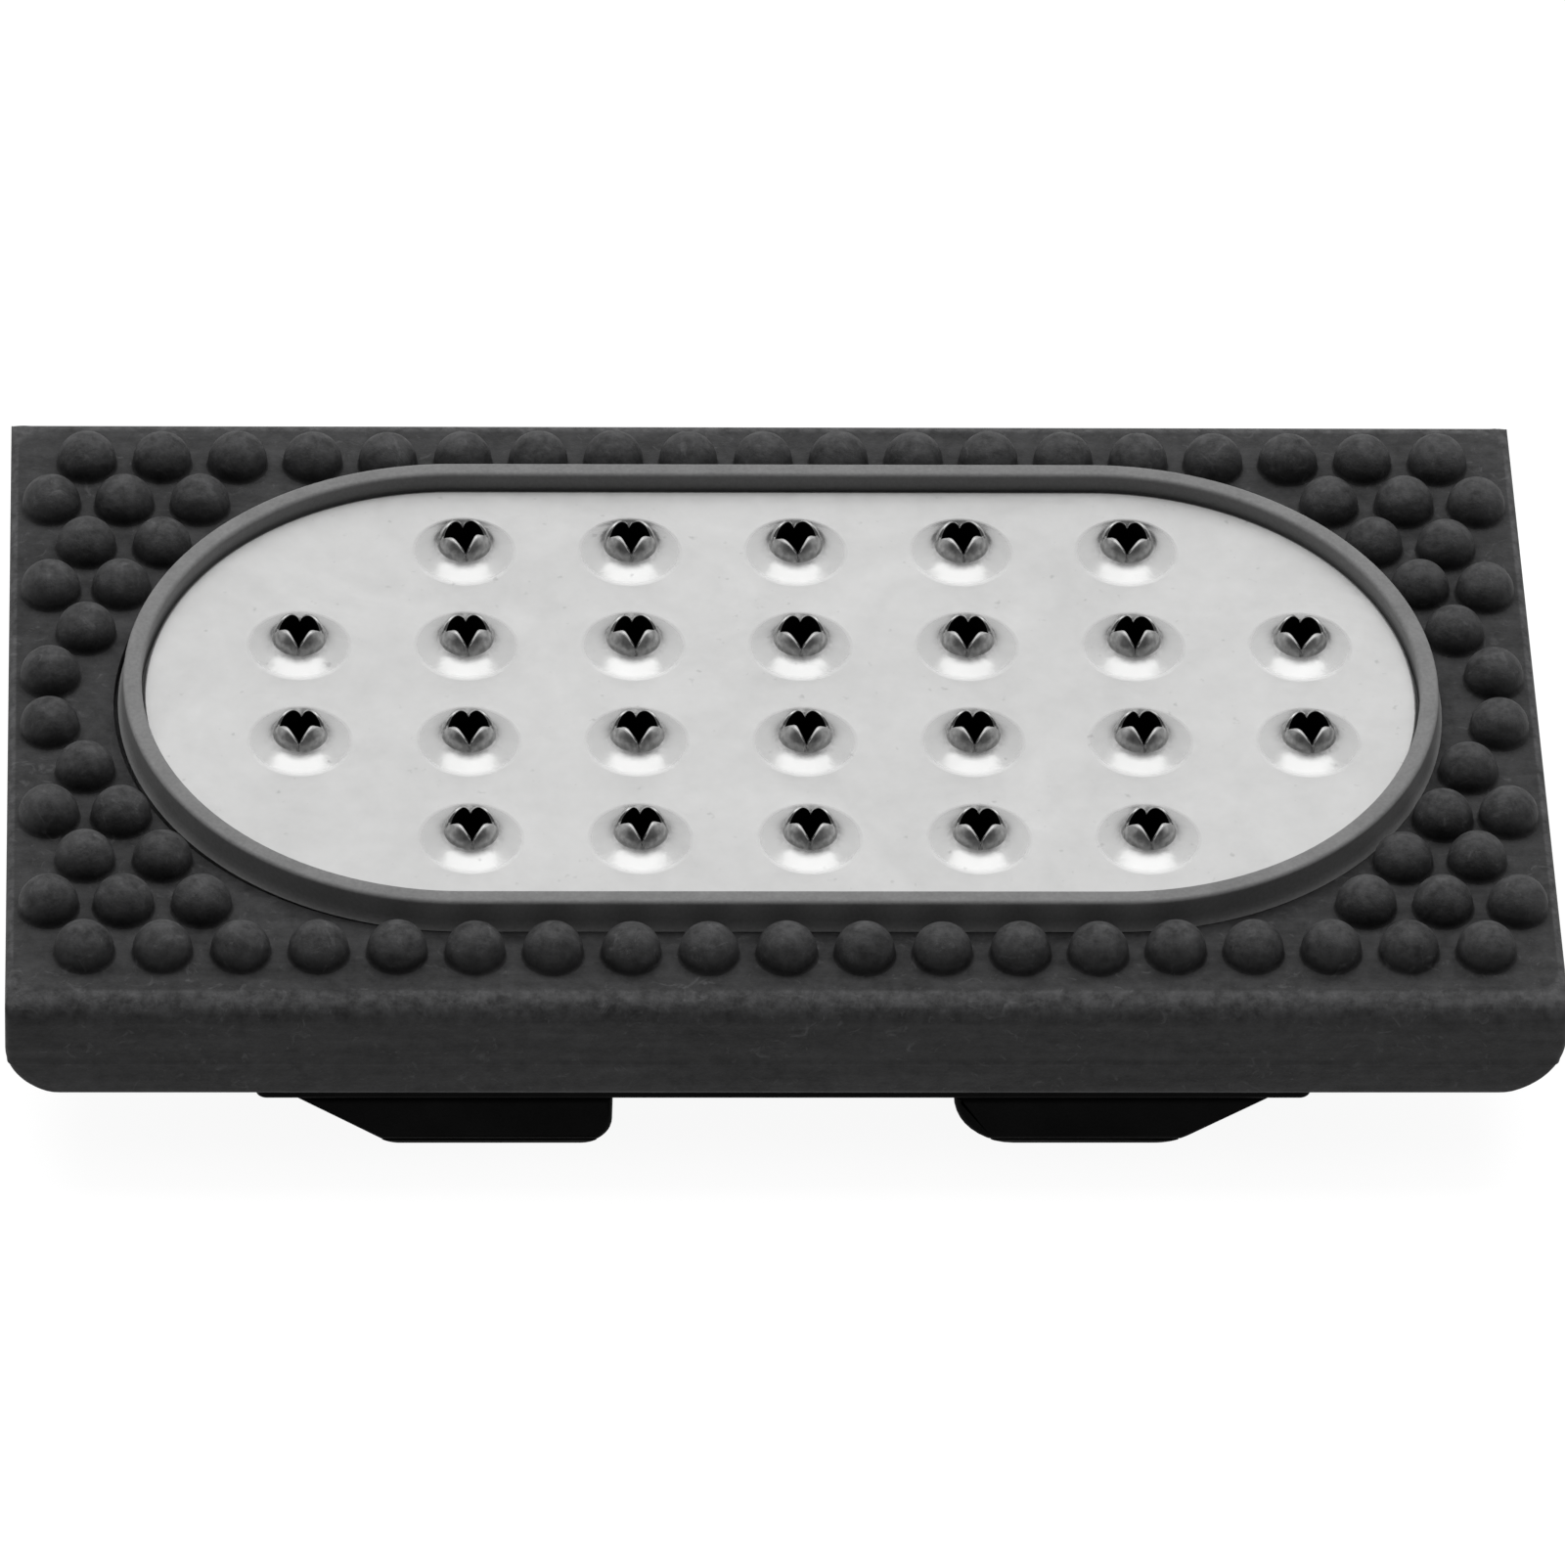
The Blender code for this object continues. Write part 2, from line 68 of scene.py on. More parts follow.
# Rubber slab
NUB_HEIGHT = 2.35 * MM
NUB_DOME_RADIUS, NUB_FOOT_RADIUS = 1.97 * MM, 2.13 * MM
NUB_WEAR = 0.8  # on the top of a dome
PAD_TOP = PAD_HIGH.z - NUB_HEIGHT
LONG_EDGE_ROUNDING, END_EDGE_ROUNDING = 1.7 * MM, 0.55 * MM
LOWER_END_ROUNDING = (3.7 * MM, 4.4 * MM)  # left and right
LOWER_EDGE_ROUNDING = 0.3 * MM
PARTING_HEIGHT = 2.6 * MM  # of the mould's parting line above the slab's underside
PARTING_RIDGE = 0.05 * MM  # how far that line stands out of the walls
PAD_CORNER, PAD_TOP_CORNER = 0.5 * MM, 2.0 * MM  # in plan, at the walls and at the edge of the flat top

# Oval of the plate: its middle in X, and the distance from there to the centre of each end
PLATE_RADIUS = PLATE_HIGH.y
OVAL_MIDDLE = (PLATE_LOW.x + PLATE_HIGH.x) / 2
OVAL_END = (PLATE_HIGH.x - PLATE_LOW.x) / 2 - PLATE_RADIUS
PLATE_THICKNESS = 0.8 * MM
PLATE_TOP = PLATE_LOW.z + PLATE_THICKNESS
CROWN_HEIGHT = PLATE_HIGH.z - PLATE_TOP

# Bead
BEAD_RADIUS = BEAD_HIGH.y
PLATE_GAP = 0.15 * MM  # round the plate and under it
BEAD_INNER = PLATE_RADIUS + PLATE_GAP
LIP_EDGE = PLATE_RADIUS - 2.0 * MM
GROOVE_RADIUS, GROOVE_LEFT_ROOM = BEAD_RADIUS + 0.1 * MM, 0.35 * MM
GROOVE_INNER = LIP_EDGE - 0.2 * MM
GROOVE_FLOOR = BEAD_LOW.z - 0.1 * MM
GROOVE_LIP = 0.12 * MM

STUD_REACH_X = (STUD_LOW.x + STUD_HIGH.x) / 2 - OVAL_MIDDLE
STUD_REACH_Y = (STUD_LOW.y + STUD_HIGH.y) / 2
STUD_PLACES = [(OVAL_MIDDLE + x * STUD_REACH_X, y * STUD_REACH_Y) for x in (-1, 1) for y in (-1, 1)]
SLEEVE_HOLE = (SLEEVE_HIGH.x - SLEEVE_LOW.x) / 2 + 0.2 * MM
STUD_HOLE = (STUD_HIGH.x - STUD_LOW.x) / 2 + 0.3 * MM
NUT_POCKET_RADIUS, NUT_POCKET_DEPTH = 3.5 * MM, 2.7 * MM

CHANCE = random.Random(7)


# ---------------------------------------------------------------- mesh helpers


def new_bmesh():
    bm = bmesh.new()
    for layer in LAYERS:
        bm.verts.layers.float.new(layer)
    return bm


def ring(bm, points, **amounts):
    """A loop of vertices, with an amount from 0 to 1 for each layer that is named."""
    verts = [bm.verts.new(point) for point in points]
    for name, amount in amounts.items():
        layer = bm.verts.layers.float[name]
        for vert in verts:
            vert[layer] = amount
    return verts


def skin(bm, rings):
    """Quads between each ring and the next."""
    for one, other in zip(rings, rings[1:]):
        count = len(one)
        for i in range(count):
            j = (i + 1) % count
            bm.faces.new((one[i], one[j], other[j], other[i]))


def cap(bm, loop, tip):
    for i in range(len(loop)):
        bm.faces.new((loop[i], loop[(i + 1) % len(loop)], tip))


def fill_flat(bm, outer, holes=()):
    """Triangles over a level area inside one loop and outside the others, which are convex."""
    loops = [outer, *holes]
    verts = [vert for loop in loops for vert in loop]
    loop_of = [number for number, loop in enumerate(loops) for _ in loop]
    edges = []
    start = 0
    for loop in loops:
        edges += [(start + i, start + (i + 1) % len(loop)) for i in range(len(loop))]
        start += len(loop)
    flat = [vert.co.xy / MM for vert in verts]
    faces, origins = delaunay_2d_cdt(flat, edges, [], 1, 1e-6)[2:4]
    for face in faces:
        corners = [origins[i][0] for i in face]
        loops_met = {loop_of[corner] for corner in corners}
        if len(loops_met) > 1 or 0 in loops_met:
            bm.faces.new([verts[corner] for corner in corners])


def circle(centre, radius, height, steps, turn=0.0):
    return [
        (
            centre[0] + radius * math.cos(turn + math.tau * i / steps),
            centre[1] + radius * math.sin(turn + math.tau * i / steps),
            height,
        )
        for i in range(steps)
    ]


def round_holes(bm, radius, height, steps, **amounts):
    """A loop round each stud's place."""
    return [ring(bm, circle(place, radius, height, steps), **amounts) for place in STUD_PLACES]


def oval(radius, height, left_room=0.0, steps=72):
    """Points round the plate's oval, a half circle at each end, with extra room at the left end."""
    points = []
    for centre, start in ((OVAL_MIDDLE + OVAL_END, -90), (OVAL_MIDDLE - OVAL_END - left_room, 90)):
        for i in range(steps + 1):
            angle = math.radians(start + 180 * i / steps)
            points.append((centre + radius * math.cos(angle), radius * math.sin(angle), height))
    return points


def rounded_rectangle(left, right, depth, corner, heights, steps=6):
    """Points round a rectangle with round corners. Heights are those of its ends and its long sides."""
    at_ends, at_sides = heights
    points = []
    for x, y, start in ((right, depth, 0), (left, depth, 90), (left, -depth, 180), (right, -depth, 270)):
        for i in range(steps + 1):
            share = i / steps
            angle = math.radians(start + 90 * share)
            to_side = share if start in (0, 180) else 1 - share
            centre_x = x - math.copysign(corner, x)
            centre_y = y - math.copysign(corner, y)
            height = at_ends + (at_sides - at_ends) * to_side
            x_now = centre_x + corner * math.cos(angle)
            y_now = centre_y + corner * math.sin(angle)
            points.append((x_now, y_now, height))
    return points


def quarter(radius, steps):
    """(inset, drop) pairs round a quarter circle, from the flat face to the wall."""
    for i in range(steps + 1):
        angle = math.radians(90 * i / steps)
        yield radius * (1 - math.sin(angle)), radius * (1 - math.cos(angle))


def piece(name, bm, finish, nodes, sharp=32):
    """Makes an object of the mesh. It rides on the frame and stands for the CAD nodes it names."""
    bmesh.ops.recalc_face_normals(bm, faces=bm.faces)
    mesh = bpy.data.meshes.new(name)
    bm.to_mesh(mesh)
    bm.free()
    mesh.materials.append(finish)
    mesh.shade_smooth()
    mesh.set_sharp_from_angle(angle=math.radians(sharp))
    obj = bpy.data.objects.new(name, mesh)
    bpy.context.scene.collection.objects.link(obj)
    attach(obj, "root")
    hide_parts(*nodes)
    return obj


def even_shading(obj):
    """Lets the large flat faces keep straight normals next to small roundings."""
    step = obj.modifiers.new("even_shading", "WEIGHTED_NORMAL")
    step.keep_sharp = True
    step.weight = 80


def peaks(node, reach):
    """The middle of each group of a node's highest points, where points within reach make one group."""
    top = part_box(node)[1].z
    groups = []
    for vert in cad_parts[node].data.vertices:
        if vert.co.z < top - 0.01 * MM:
            continue
        near = [group for group in groups if (group[0] - vert.co).length < reach]
        if near:
            near[0].append(vert.co.copy())
        else:
            groups.append([vert.co.copy()])
    middles = []
    for group in groups:
        xs = [point.x for point in group]
        ys = [point.y for point in group]
        middles.append(((min(xs) + max(xs)) / 2, (min(ys) + max(ys)) / 2))
    return sorted(middles, key=lambda place: (round(place[1] / MM, 1), place[0]))


# ---------------------------------------------------------------- rubber slab


def on_the_flat(centre):
    """A nub's centre, moved if its foot would hang over the groove or over the rounding of an end."""
    room = NUB_FOOT_RADIUS + 0.05 * MM
    needed = GROOVE_RADIUS + GROOVE_LIP + room
    reach = PAD_HIGH.x - PARTING_RIDGE - END_EDGE_ROUNDING - room
    x, y = max(-reach, min(reach, centre[0])) - OVAL_MIDDLE, centre[1]
    end = max(-OVAL_END - GROOVE_LEFT_ROOM, min(OVAL_END, x))
    away = Vector((x - end, y))
    if away.length < needed:
        away *= needed / away.length
    return OVAL_MIDDLE + end + away.x, away.y


def nub(bm, centre, steps=36):
    """One domed nub on a flared foot. Returns the loop where it meets the slab."""
    size = CHANCE.uniform(0.975, 1.0)
    lean = (CHANCE.uniform(-0.05, 0.05) * MM, CHANCE.uniform(-0.05, 0.05) * MM)
    dome = NUB_DOME_RADIUS * size
    dome_base = NUB_HEIGHT * size - dome
    flare = NUB_FOOT_RADIUS - dome
    profile = [(NUB_FOOT_RADIUS, 0.0, 0.0)]
    for inset, drop in reversed(list(quarter(1.0, 5))[:-1]):
        profile.append((dome + 0.9 * flare * drop, 0.95 * dome_base * inset, 0.0))
    dome_steps = 10
    for i in range(dome_steps):
        angle = math.radians(90 * i / dome_steps)
        wear = NUB_WEAR * i / (dome_steps - 1)
        profile.append((dome * math.cos(angle), dome_base + dome * math.sin(angle), wear))
    rings = []
    for radius, height, wear in profile:
        share = height / NUB_HEIGHT
        middle = (centre[0] + lean[0] * share, centre[1] + lean[1] * share)
        rings.append(ring(bm, circle(middle, radius, PAD_TOP + height, steps), wear=wear))
    skin(bm, rings)
    tip = (centre[0] + lean[0], centre[1] + lean[1], PAD_TOP + NUB_HEIGHT * size)
    cap(bm, rings[-1], ring(bm, [tip], wear=NUB_WEAR)[0])
    return rings[0]


def slab_walls(bm):
    """The slab's sides. Returns the loops at the edges of its flat top and of its underside."""
    left, right = PAD_LOW.x + PARTING_RIDGE, PAD_HIGH.x - PARTING_RIDGE
    depth = PAD_HIGH.y - PARTING_RIDGE
    rings = []
    steps = 10
    for at_end, at_side in zip(quarter(END_EDGE_ROUNDING, steps), quarter(LONG_EDGE_ROUNDING, steps)):
        end_inset, end_drop = at_end
        side_inset, side_drop = at_side
        wall_share = 1 - side_inset / LONG_EDGE_ROUNDING
        corner = PAD_TOP_CORNER + (PAD_CORNER - PAD_TOP_CORNER) * wall_share
        heights = (PAD_TOP - end_drop, PAD_TOP - side_drop)
        points = rounded_rectangle(
            left + end_inset,
            right - end_inset,
            depth - side_inset,
            corner,
            heights,
        )
        # Rubbed on the rounding, from just past its upper edge until it nears the wall
        wear = min(1.0, 0.1 + 5 * wall_share) * (1 - wall_share**5)
        rings.append(ring(bm, points, wear=wear))

    parting = PAD_LOW.z + PARTING_HEIGHT
    levels = [(parting + 0.25 * MM, 0.0), (parting, PARTING_RIDGE), (parting - 0.06 * MM, 0.0)]
    for height, _ in quarter(max(LOWER_END_ROUNDING), 18):
        if abs(height - PARTING_HEIGHT) > 0.35 * MM:
            levels.append((PAD_LOW.z + height, 0.0))
    for level, ridge in sorted(levels, reverse=True):
        height = level - PAD_LOW.z
        insets = []
        for rounding in (*LOWER_END_ROUNDING, LOWER_EDGE_ROUNDING):
            below = max(rounding - height, 0.0)
            insets.append(rounding - math.sqrt(rounding**2 - min(below, rounding) ** 2))
        points = rounded_rectangle(
            left + insets[0] - ridge,
            right - insets[1] + ridge,
            depth - insets[2] + ridge,
            PAD_CORNER,
            (level, level),
        )
        rings.append(ring(bm, points, wear=0.4 if ridge else 0.0))
    skin(bm, rings)
    return rings[0], rings[-1]


def make_rubber_slab(finish):
    bm = new_bmesh()
    nubs = [nub(bm, on_the_flat(centre)) for centre in peaks("rubber_pad", NUB_DOME_RADIUS)]
    top_edge, bottom_edge = slab_walls(bm)

    room = GROOVE_LEFT_ROOM
    lip = GROOVE_LIP
    groove = [
        ring(bm, oval(GROOVE_RADIUS + lip, PAD_TOP, room), wear=0.1),
        ring(bm, oval(GROOVE_RADIUS + 0.3 * lip, PAD_TOP - 0.3 * lip, room), wear=0.3),
        ring(bm, oval(GROOVE_RADIUS, PAD_TOP - lip, room), wear=0.1),
        ring(bm, oval(GROOVE_RADIUS, GROOVE_FLOOR, room)),
        # Painted shade: the groove's inner wall and floor get the inside layer, which darkens their
        # colour
        ring(bm, oval(GROOVE_INNER, GROOVE_FLOOR), inside=1.0),
        ring(bm, oval(GROOVE_INNER, PAD_TOP), inside=1.0),
    ]
    skin(bm, groove)
    fill_flat(bm, top_edge, [*nubs, groove[0]])

    # Painted shade: the walls of the sleeve holes get the inside layer, which darkens their colour
    upper_holes = round_holes(bm, SLEEVE_HOLE, PAD_TOP, steps=32, inside=1.0)
    lower_holes = round_holes(bm, SLEEVE_HOLE, PAD_LOW.z, steps=32)
    for upper, lower in zip(upper_holes, lower_holes):
        skin(bm, [upper, lower])
    fill_flat(bm, groove[-1], upper_holes)
    fill_flat(bm, bottom_edge, lower_holes)
    return piece("nubbed_rubber_slab", bm, finish, ["rubber_pad"])


# ---------------------------------------------------------------- bead


def make_bead(finish):
    """The bead round the plate and the lip under the plate's edge, swept round the oval."""
    bm = new_bmesh()
    lip_top = PLATE_LOW.z - PLATE_GAP
    corner = 0.28 * MM
    outer_top = BEAD_RADIUS - 0.12 * MM
    section = [(LIP_EDGE, lip_top, 0.0), (BEAD_INNER + 0.1 * MM, lip_top, 0.0)]
    corner_steps = list(quarter(corner, 6))
    section += [(BEAD_INNER + inset, BEAD_HIGH.z - drop, 1.0) for inset, drop in reversed(corner_steps)]
    section.append(((BEAD_INNER + outer_top) / 2, BEAD_HIGH.z, 1.0))
    section += [(outer_top - inset, BEAD_HIGH.z - drop, 1.0) for inset, drop in corner_steps]
    # The outer face widens downwards into a foot that laps over the slab
    for i in range(3):
        inset, height = (0.10 - 0.04 * i) * MM, (0.75 - 0.15 * i) * MM
        section.append((BEAD_RADIUS - inset, PAD_TOP + height, 0.0))
    section += [
        (BEAD_RADIUS + 0.06 * MM, PAD_TOP + 0.20 * MM, 0.0),
        (GROOVE_RADIUS + 0.1 * MM, PAD_TOP + 0.04 * MM, 0.0),
        (BEAD_RADIUS, PAD_TOP, 0.0),
        (BEAD_RADIUS, BEAD_LOW.z, 0.0),
        (LIP_EDGE, BEAD_LOW.z, 0.0),
    ]
    rings = []
    for radius, height, crest in section:
        near_top = max(0.0, 1 - (BEAD_HIGH.z - height) / corner)
        rings.append(ring(bm, oval(radius, height), wear=crest * near_top))
    skin(bm, [*rings, rings[0]])
    return piece("plate_bead", bm, finish, ["plate_gasket"])


# ---------------------------------------------------------------- tread plate

# Each tooth rises from the plate in a flare up to a neck, and its crown of four points stands on that
FLARE_RADIUS, NECK_RADIUS, NECK_HEIGHT = 3.45 * MM, 1.77 * MM, 0.62 * MM
FLARE_MARGIN = 0.4 * MM  # of flat plate kept round the flare
# Height of the bottom of each V between two points, and how far it draws in there
SLOT_HEIGHT, SLOT_PINCH = 0.92 * MM, 0.20 * MM
CROWN_WALL = 0.22 * MM
HOLE_FLARE = 0.95 * MM  # how much wider the hole is at the plate's underside


def crown_radius(height):
    """Radius of a tooth's outer face at a height above the plate, closing in towards the points."""
    share = (height - NECK_HEIGHT) / (CROWN_HEIGHT - NECK_HEIGHT)
    return NECK_RADIUS - (0.10 * share + 0.58 * share**2.6) * MM


def point_share(angle):
    """0 at the middle of each V, a quarter turn apart, and 1 on the points between them."""
    return abs(math.sin(2 * angle)) ** 0.62


def tooth(bm, centre, steps=72):
    """One pierced tooth. Returns the loops where it meets the plate's top and underside."""
    tall = CROWN_HEIGHT * CHANCE.uniform(0.95, 1.0)
    turn = math.radians(CHANCE.uniform(-4, 4))
    lean = [CHANCE.uniform(0.92, 1.0) for _ in range(4)]

    def level_ring(radius, height, **amounts):
        return ring(bm, circle(centre, radius, PLATE_TOP + height, steps), **amounts)

    def crown_ring(share, inset, **amounts):
        points = []
        for i in range(steps):
            angle = math.tau * i / steps
            point = point_share(angle)
            rim = SLOT_HEIGHT + (tall * lean[4 * i // steps] - SLOT_HEIGHT) * point
            height = NECK_HEIGHT + (rim - NECK_HEIGHT) * share
            radius = crown_radius(height) - SLOT_PINCH * (1 - point) * share - inset
            x = centre[0] + radius * math.cos(angle + turn)
            y = centre[1] + radius * math.sin(angle + turn)
            points.append((x, y, PLATE_TOP + height))
        return ring(bm, points, **amounts)

    # The flare
    rings = [level_ring(FLARE_RADIUS + FLARE_MARGIN, 0.0)]
    flare_steps = 12
    for i in range(flare_steps + 1):
        share = i / flare_steps
        radius = FLARE_RADIUS + (NECK_RADIUS - FLARE_RADIUS) * share
        height = NECK_HEIGHT * (0.64 * share + 0.36 * share**5)
        rings.append(level_ring(radius, height, drawn=min(1.0, 5 * share), wear=0.8 * share**5))
    # The crown's outer face, its rounded rim and its inner face
    for share in (0.18, 0.36, 0.54, 0.72, 0.86, 0.94):
        rings.append(crown_ring(share, 0.0, wear=1.0, drawn=1.0))
    rings.append(crown_ring(0.985, 0.03 * MM, wear=0.6, drawn=1.0))
    rings.append(crown_ring(1.0, CROWN_WALL * 0.3, wear=0.3, drawn=1.0))
    rings.append(crown_ring(1.0, CROWN_WALL * 0.7, wear=0.3, drawn=1.0))
    # Painted shade: the crown's inner face gets the inside layer, which makes its colour almost black
    for share in (0.985, 0.9, 0.7, 0.5, 0.25, 0.0):
        rings.append(crown_ring(share, CROWN_WALL, inside=1.0))
    # The hole, widening down to the plate's underside, also darkened as painted shade
    for share in (0.35, 0.7, 1.0):
        radius = NECK_RADIUS - CROWN_WALL + HOLE_FLARE * share**1.5
        height = NECK_HEIGHT - (NECK_HEIGHT + PLATE_THICKNESS) * share
        rings.append(level_ring(radius, height, inside=1.0))
    skin(bm, rings)
    return rings[0], rings[-1]


def make_tread_plate(finish):
    bm = new_bmesh()
    teeth = [tooth(bm, centre) for centre in peaks("traction_plate", NECK_RADIUS * 1.6)]
    edge = 0.12 * MM
    rings = [ring(bm, oval(PLATE_RADIUS - 2 * edge, PLATE_TOP))]
    for inset, drop in quarter(edge, 4):
        rings.append(ring(bm, oval(PLATE_RADIUS - inset, PLATE_TOP - drop), drawn=1.0))
    rings.append(ring(bm, oval(PLATE_RADIUS - 0.05 * MM, PLATE_LOW.z)))
    skin(bm, rings)
    fill_flat(bm, rings[0], [upper for upper, _ in teeth])
    fill_flat(bm, rings[-1], [lower for _, lower in teeth])
    return piece("pierced_tread_plate", bm, finish, ["traction_plate"], sharp=12)


# ---------------------------------------------------------------- carrier, feet and adhesive

CARRIER_LEDGE = 0.35 * MM  # how much further it comes out than its CAD solid on each long side
FOOT_BOTTOM_REACH = 25.4 * MM  # from the middle of the pad to the outer end of a foot's flat bottom
FOOT_ROUNDINGS = {"left": (2.0 * MM, 2.4 * MM), "right": (4.0 * MM, 4.2 * MM)}  # inner and outer corner
FOOT_OVERLAP = 0.15 * MM  # how far a foot comes below its CAD solid, to meet its adhesive
ABOVE = 5 * MM  # how far a foot's sides are drawn on before they are cut at its top


def make_carrier(finish):
    bm = new_bmesh()
    left, right, depth = CARRIER_LOW.x, CARRIER_HIGH.x, CARRIER_HIGH.y + CARRIER_LEDGE
    corner, top_edge, bottom_edge = 0.6 * MM, 0.15 * MM, 0.35 * MM
    levels = [(inset, CARRIER_HIGH.z - drop, 0.5) for inset, drop in quarter(top_edge, 3)]
    lower_levels = [(inset, CARRIER_LOW.z + drop, 0.3) for inset, drop in quarter(bottom_edge, 8)]
    levels += reversed(lower_levels)
    rings = []
    for inset, height, wear in levels:
        outline = rounded_rectangle(left + inset, right - inset, depth - inset, corner, (height, height))
        rings.append(ring(bm, outline, wear=wear))
    skin(bm, rings)
    upper_holes = round_holes(bm, STUD_HOLE, CARRIER_HIGH.z, steps=24)
    lower_holes = round_holes(bm, STUD_HOLE, CARRIER_LOW.z, steps=24)
    for upper, lower in zip(upper_holes, lower_holes):
        skin(bm, [upper, lower])
    fill_flat(bm, rings[0], upper_holes)
    fill_flat(bm, rings[-1], lower_holes)
    return piece("carrier_shell", bm, finish, ["carrier_plate"])


def rounded_corner(before, corner, after, radius, steps=10):
    """Points of the arc of the given radius that rounds one corner of an outline."""
    back = (before - corner).normalized()
    ahead = (after - corner).normalized()
    half = back.angle(ahead) / 2
    reach = radius / math.tan(half)
    centre = corner + (back + ahead).normalized() * (radius / math.sin(half))
    start = (corner + back * reach - centre).normalized()
    end = (corner + ahead * reach - centre).normalized()
    return [centre + start.slerp(end, i / steps).normalized() * radius for i in range(steps + 1)]


def foot_outline(name, side):
    """The foot's outline in X and Z, from its inner top corner round to its outer top corner."""
    low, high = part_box(f"{name}_foot")
    inner, outer_top = sorted((abs(low.x), abs(high.x)))
    slope = (outer_top - FOOT_BOTTOM_REACH) / high.z
    corners = [
        Vector((inner, 0, high.z + ABOVE)),
        Vector((inner, 0, 0)),
        Vector((FOOT_BOTTOM_REACH, 0, 0)),
        Vector((outer_top + slope * ABOVE, 0, high.z + ABOVE)),
    ]
    inner_rounding, outer_rounding = FOOT_ROUNDINGS[name]
    points = rounded_corner(*corners[:3], inner_rounding) + rounded_corner(*corners[1:], outer_rounding)
    points = [Vector((inner, 0, high.z))] + [point for point in points if point.z < high.z]
    points.append(Vector((FOOT_BOTTOM_REACH + slope * high.z, 0, high.z)))
    return [Vector((side * point.x, 0, point.z)) for point in points]


def keep_layer(points, low, high):
    """The part of a closed outline in X and Z that lies between two heights, without crowded points."""
    for height, sign in ((low, 1), (high, -1)):
        kept = []
        for here, there in zip(points, points[1:] + points[:1]):
            inside_here = sign * (here.z - height) >= 0
            inside_there = sign * (there.z - height) >= 0
            if inside_here:
                kept.append(here)
            if inside_here != inside_there:
                kept.append(here.lerp(there, (height - here.z) / (there.z - here.z)))
        points = kept
    return [point for i, point in enumerate(points) if (point - points[i - 1]).length > 0.05 * MM]


def inset_outline(points, by):
    """The closed outline, which bulges everywhere, with each side moved inwards."""
    middle = sum(points, Vector()) / len(points)
    inward = []
    for here, there in zip(points, points[1:] + points[:1]):
        side = (there - here).cross(Vector((0, 1, 0))).normalized()
        inward.append(side if side.dot(middle - here) > 0 else -side)
    moved = []
    for i, point in enumerate(points):
        both = inward[i - 1] + inward[i]
        moved.append(point + both * (2 * by / both.length_squared))
    return moved


def nut_pocket(bm, place, bottom, ceiling, top):
    """A nut pocket open below and the stud's hole above it. Returns its lowest and highest loops."""
    levels = (
        (NUT_POCKET_RADIUS, bottom),
        (NUT_POCKET_RADIUS, ceiling),
        (STUD_HOLE, ceiling),
        (STUD_HOLE, top),
    )
    rings = [ring(bm, circle(place, radius, height, 32)) for radius, height in levels]
    skin(bm, rings)
    return rings[0], rings[-1]


def make_bar(name, outline, depth, edge, finish, node, pockets=()):
    """An outline in X and Z carried across the pad, with rounded edges at both ends.

    Pockets are the places of the studs whose nuts it holds.
    """
    bm = new_bmesh()
    stations = [(along - depth, inset) for inset, along in quarter(edge, 4)]
    stations += [(-y, inset) for y, inset in reversed(stations)]
    rings = [
        ring(bm, [(point.x, y, point.z) for point in inset_outline(outline, inset)], wear=0.4)
        for y, inset in stations
    ]
    half = len(rings) // 2
    skin(bm, rings[:half])
    skin(bm, rings[half:])
    bm.faces.new(rings[0])
    bm.faces.new(rings[-1])

    bottom, top = min(point.z for point in outline), max(point.z for point in outline)
    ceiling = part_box(node)[0].z + NUT_POCKET_DEPTH
    loops = [nut_pocket(bm, place, bottom, ceiling, top) for place in pockets]
    near, far = rings[half - 1], rings[half]
    for i, here in enumerate(outline):
        j = (i + 1) % len(outline)
        side = [near[i], near[j], far[j], far[i]]
        is_level = abs(here.z - outline[j].z) < 0.001 * MM
        if is_level:
            fill_flat(bm, side, [upper if here.z > ceiling else lower for lower, upper in loops])
        else:
            bm.faces.new(side)
    even_shading(piece(name, bm, finish, [node]))


def make_feet(nylon, foam):
    """Both feet and their adhesive, cut at different heights from the same outline."""
    for name, side in (("left", -1), ("right", 1)):
        low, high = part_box(f"{name}_foot")
        strip_low, strip_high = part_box(f"{name}_adhesive_strip")
        whole = foot_outline(name, side)
        foot = keep_layer(whole, low.z - FOOT_OVERLAP, high.z)
        strip = keep_layer(whole, strip_low.z, strip_high.z)
        studs = [place for place in STUD_PLACES if side * place[0] > 0]
        make_bar(
            f"{name}_foot_shell",
            foot,
            high.y,
            0.45 * MM,
            nylon,
            f"{name}_foot",
            studs,
        )
        make_bar(
            f"{name}_adhesive_pad",
            strip,
            strip_high.y - 0.2 * MM,
            0.05 * MM,
            foam,
            f"{name}_adhesive_strip",
        )


# ---------------------------------------------------------------- materials


